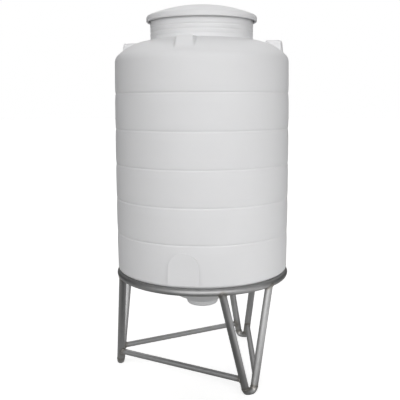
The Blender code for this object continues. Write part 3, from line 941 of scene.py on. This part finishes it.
# %% Lay the floor
FLOOR_RADIUS = 60
FLOOR_STEPS = 96
FLOOR_SEEN = 0.62
FLOOR_GLOW = 0.30
DARK_SPOT = (-10, 1.15)
DARK_EDGE = (0.4, 1.3)
DARK_GLOW = 0.06
BRIGHT_SPOT = (62, 2.3)
BRIGHT_EDGE = (0.4, 1.6)
BRIGHT_GLOW = 1.1
FAR_EDGE = (2.3, 4.5)
FAR_SHARE = 0.15

floor_material, tree, output = new_material("pale_matt_floor")
seen = add_node(tree, "ShaderNodeLightPath", {}, {}).outputs["Is Camera Ray"]
place = add_node(tree, "ShaderNodeTexCoord", {}, {}).outputs["Object"]
floor_colour = add_node(tree, "ShaderNodeMix", {"data_type": 'RGBA'}, {
    0: seen, 6: linear("#606060"), 7: linear("#E9E9E8")})
dark_mark = facing_way(DARK_SPOT[0]) * DARK_SPOT[1]
bright_mark = facing_way(BRIGHT_SPOT[0]) * BRIGHT_SPOT[1]
near_glow = add_node(tree, "ShaderNodeMath", {"operation": 'ADD'}, {
    0: soft_glow(tree, 'DISTANCE', place, dark_mark, DARK_EDGE, (DARK_GLOW, FLOOR_GLOW)),
    1: soft_glow(tree, 'DISTANCE', place, bright_mark, BRIGHT_EDGE, (BRIGHT_GLOW, 0.0))})
floor_glow = add_node(tree, "ShaderNodeMath", {"operation": 'MULTIPLY'}, {
    0: near_glow.outputs["Value"],
    1: soft_glow(tree, 'DISTANCE', place, (0, 0, 0), FAR_EDGE, (1.0, FAR_SHARE))})
glow = add_node(tree, "ShaderNodeMix", {"data_type": 'FLOAT'}, {
    0: seen, 2: floor_glow.outputs["Value"], 3: FLOOR_SEEN})
shader = add_node(tree, "ShaderNodeBsdfPrincipled", {}, {
    "Base Color": floor_colour.outputs[2], "Roughness": 0.9, "Specular IOR Level": 0.0,
    "Emission Color": (1, 1, 1, 1), "Emission Strength": glow.outputs[0]})
tree.links.new(shader.outputs["BSDF"], output.inputs["Surface"])

floor_mesh = bpy.data.meshes.new("floor")
bm = bmesh.new()
bmesh.ops.create_circle(bm, cap_ends=True, segments=FLOOR_STEPS, radius=FLOOR_RADIUS)
bm.to_mesh(floor_mesh)
bm.free()
floor_mesh.materials.append(floor_material)
floor = bpy.data.objects.new("floor", floor_mesh)
bpy.context.scene.collection.objects.link(floor)
print("laid the floor:", floor_material.name)

# %% [markdown]
# ## The hall
#
# The wall is brightest where it faces the camera and falls off to both edges, which asks for a wide light
# from the front that is strongest in one opening, and for a dark roof above it. A second light, high up
# behind the tank, isn't needed for the photograph's side, but it keeps the far side readable, and a faint
# glow fills in all round. A way is an azimuth from the camera and an elevation, and its edge gives the
# two cosines between which its light changes: a cosine of 1 is the way itself, and 0 is square to it. The
# world's Generated coordinates are the direction that a ray looks in.

# %% Light the hall
ROOM_SEEN = 1.0
HALL_GLOW = 0.08
FRONT_WAY = (4, 5)
FRONT_EDGE = (-0.35, 0.70)
SIDE_GLOW = 0.90
OPENING_WAY = (3, 12)
OPENING_EDGE = (0.64, 0.95)
OPENING_GLOW = 1.62
BACK_WAY = (178, 52)
BACK_EDGE = (0.72, 0.95)
BACK_GLOW = 1.15
ROOF_WAY = (0, 90)
ROOF_EDGE = (0.42, 0.92)

world = bpy.data.worlds.new("hall")
bpy.context.scene.world = world
world.use_nodes = True
tree = world.node_tree
look = add_node(tree, "ShaderNodeTexCoord", {}, {}).outputs["Generated"]
front_glow = add_node(tree, "ShaderNodeMath", {"operation": 'ADD'}, {
    0: soft_glow(tree, 'DOT_PRODUCT', look, facing_way(*FRONT_WAY), FRONT_EDGE, (0.0, SIDE_GLOW)),
    1: soft_glow(tree, 'DOT_PRODUCT', look, facing_way(*OPENING_WAY), OPENING_EDGE, (0.0, OPENING_GLOW))})
hall_glow = add_node(tree, "ShaderNodeMath", {"operation": 'MULTIPLY_ADD'}, {
    0: front_glow.outputs["Value"],
    1: soft_glow(tree, 'DOT_PRODUCT', look, facing_way(*ROOF_WAY), ROOF_EDGE, (1.0, 0.0)),
    2: soft_glow(tree, 'DOT_PRODUCT', look, facing_way(*BACK_WAY), BACK_EDGE,
                 (HALL_GLOW, HALL_GLOW + BACK_GLOW))})
strength = add_node(tree, "ShaderNodeMix", {"data_type": 'FLOAT'}, {
    0: add_node(tree, "ShaderNodeLightPath", {}, {}).outputs["Is Camera Ray"],
    2: hall_glow.outputs["Value"], 3: ROOM_SEEN})
background = tree.nodes["Background"].inputs
background["Color"].default_value = (1, 1, 1, 1)
tree.links.new(strength.outputs[0], background["Strength"])
print("lit by the hall:", world.name)
